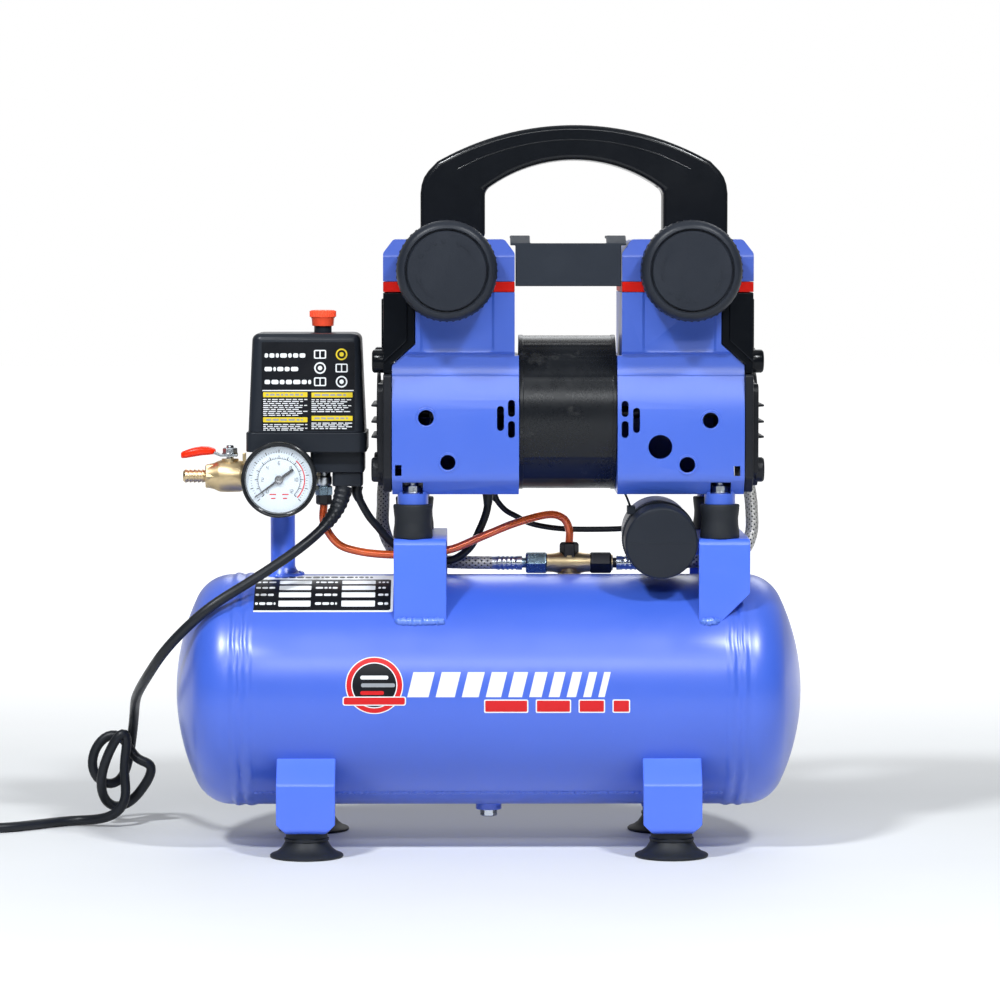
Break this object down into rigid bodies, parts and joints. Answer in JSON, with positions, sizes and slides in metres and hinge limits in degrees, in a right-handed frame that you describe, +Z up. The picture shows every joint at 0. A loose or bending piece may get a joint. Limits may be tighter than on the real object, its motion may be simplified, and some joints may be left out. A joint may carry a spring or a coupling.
{
  "type": "air compressor",
  "caption": "Portable oil-free air compressor: blue horizontal tank on suction feet, twin-cylinder pump with carrying handle, pressure switch, gauge, ball valve and mains cord.",
  "frame": {"origin": "on the floor under the middle of the machine, without its cord", "axes": "+X along the tank towards its right end as seen from the front, +Y from the front towards the back, +Z up"},
  "size_m": [0.6765, 0.2902, 0.499],
  "materials": {
    "blue_paint": "gloss",
    "head_blue": "satin",
    "red_plastic": "gloss",
    "black_plastic": "fine texture",
    "black_gloss": "gloss",
    "rubber": "matte",
    "steel": "satin",
    "brass": "satin",
    "copper": "bright copper tube",
    "aluminium": "satin",
    "laminations": "laminated steel",
    "braid": "braided black and silver"
  },
  "bodies": {
    "machine": {"tank": "blue_paint", "foot_bracket_front_left": "blue_paint", "suction_foot_front_left": "rubber", "rubber_mount_front_left": "rubber", "foot_bracket_front_right": "blue_paint", "suction_foot_front_right": "rubber", "rubber_mount_front_right": "rubber", "foot_bracket_rear_left": "blue_paint", "suction_foot_rear_left": "rubber", "rubber_mount_rear_left": "rubber", "foot_bracket_rear_right": "blue_paint", "suction_foot_rear_right": "rubber", "rubber_mount_rear_right": "rubber", "pump_bracket_left": "blue_paint", "crankcase_left": "blue_paint", "head_gasket_left": "red_plastic", "cylinder_head_left": "head_blue", "cylinder_liner_left": "aluminium", "side_cover_left": "black_plastic", "end_cover_left": "black_plastic", "hose_left": "braid", "pump_bracket_right": "blue_paint", "crankcase_right": "blue_paint", "head_gasket_right": "red_plastic", "cylinder_head_right": "head_blue", "cylinder_liner_right": "aluminium", "side_cover_right": "black_plastic", "end_cover_right": "black_plastic", "hose_right": "braid", "motor_shell": "black_gloss", "stator_core": "laminations", "handle": "black_gloss", "cross_plate": "black_plastic", "riser_pipe": "blue_paint", "port_manifold": "brass", "gauge_case": "black_gloss", "ball_valve_body": "brass", "switch_base": "black_plastic", "switch_cover": "black_plastic", "cord_gland": "black_plastic", "tank_tee": "brass", "unloader_tube": "copper", "capacitor": "black_plastic", "motor_cable": "rubber", "capacitor_cable": "rubber", "power_cord": "rubber", "cord_coil": "rubber", "plug": "rubber"},
    "shaft": {"rotor": "laminations", "fan_left": "black_plastic", "fan_right": "black_plastic", "eccentric_left": "steel", "eccentric_right": "steel"},
    "rod_left": {"piston_rod_left": "aluminium"},
    "rod_right": {"piston_rod_right": "aluminium"},
    "knob": {"switch_knob": "red_plastic"},
    "needle": {"gauge_needle": "black_gloss"},
    "lever": {"valve_lever": "red_plastic"},
    "filter_left": {"air_filter_left": "black_plastic"},
    "filter_right": {"air_filter_right": "black_plastic"}
  },
  "joints": [
    {"name": "shaft_spin", "type": "hinge", "parent": "machine", "child": "shaft", "pos_m": [0.054, 0, 0.301], "axis": [1, 0, 0], "continuous": true},
    {"name": "rod_left_pin", "type": "hinge", "parent": "shaft", "child": "rod_left", "pos_m": [-0.0285, 0, 0.306], "axis": [1, 0, 0], "continuous": true},
    {"name": "rod_right_pin", "type": "hinge", "parent": "shaft", "child": "rod_right", "pos_m": [0.1365, 0, 0.296], "axis": [1, 0, 0], "continuous": true},
    {"name": "switch_press", "type": "slide", "parent": "machine", "child": "knob", "axis": [0, 0, 1], "range_m": [-0.004, 0]},
    {"name": "needle_sweep", "type": "hinge", "parent": "machine", "child": "needle", "pos_m": [-0.1433, -0.048, 0.2565], "axis": [0, 1, 0], "range_deg": [0, 270]},
    {"name": "valve_turn", "type": "hinge", "parent": "machine", "child": "lever", "pos_m": [-0.1795, 0, 0.2565], "axis": [0, 0, 1], "range_deg": [0, 90]},
    {"name": "filter_left_twist", "type": "hinge", "parent": "machine", "child": "filter_left", "pos_m": [-0.0285, -0.07, 0.399], "axis": [0, -1, 0], "range_deg": [0, 30]},
    {"name": "filter_right_twist", "type": "hinge", "parent": "machine", "child": "filter_right", "pos_m": [0.1365, -0.07, 0.399], "axis": [0, -1, 0], "range_deg": [0, 30]}
  ],
  "couplings": [
    {"joint": "rod_left_pin", "follows": "shaft_spin", "ratio": -1},
    {"joint": "rod_right_pin", "follows": "shaft_spin", "ratio": -1}
  ]
}
